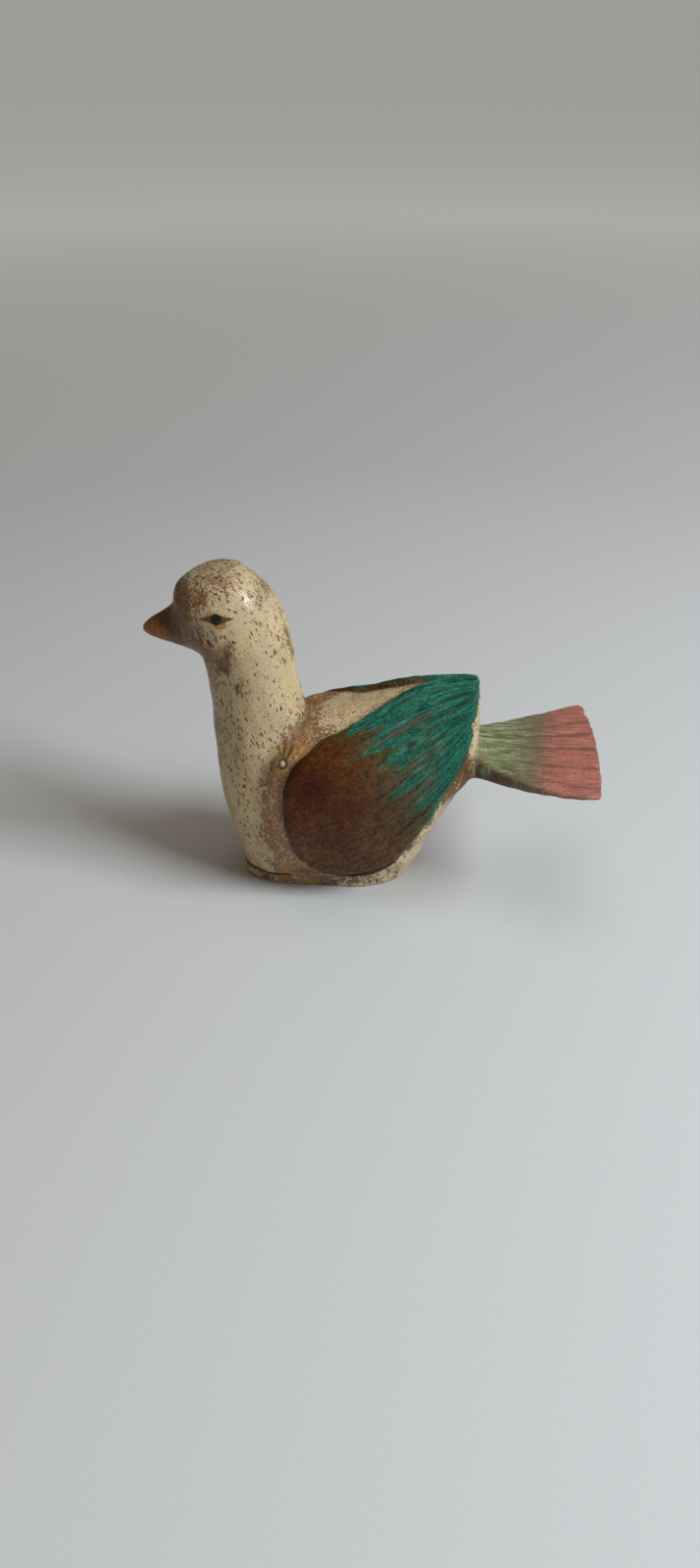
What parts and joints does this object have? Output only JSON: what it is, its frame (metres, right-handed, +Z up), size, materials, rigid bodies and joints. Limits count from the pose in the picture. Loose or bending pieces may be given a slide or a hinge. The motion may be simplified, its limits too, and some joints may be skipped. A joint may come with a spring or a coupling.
{
  "type": "wooden bird figurine",
  "caption": "Carved wooden bird with a raised head, folded wings that meet over the rump, a flat fanned tail and an oval foot, in worn cream, brown, green and pink paint.",
  "frame": {"origin": "middle of the bounding box in plan, at the level of the flat underside that the bird stands on", "axes": "+X from the beak to the tail, +Y to the bird's own right, +Z up"},
  "size_m": [0.1308, 0.0534, 0.103],
  "materials": {
    "painted_wood": "worn hand paint under a satin wax, with brown patina in the hollows"
  },
  "bodies": {
    "root": {"wooden_bird": "painted_wood"}
  },
  "joints": []
}
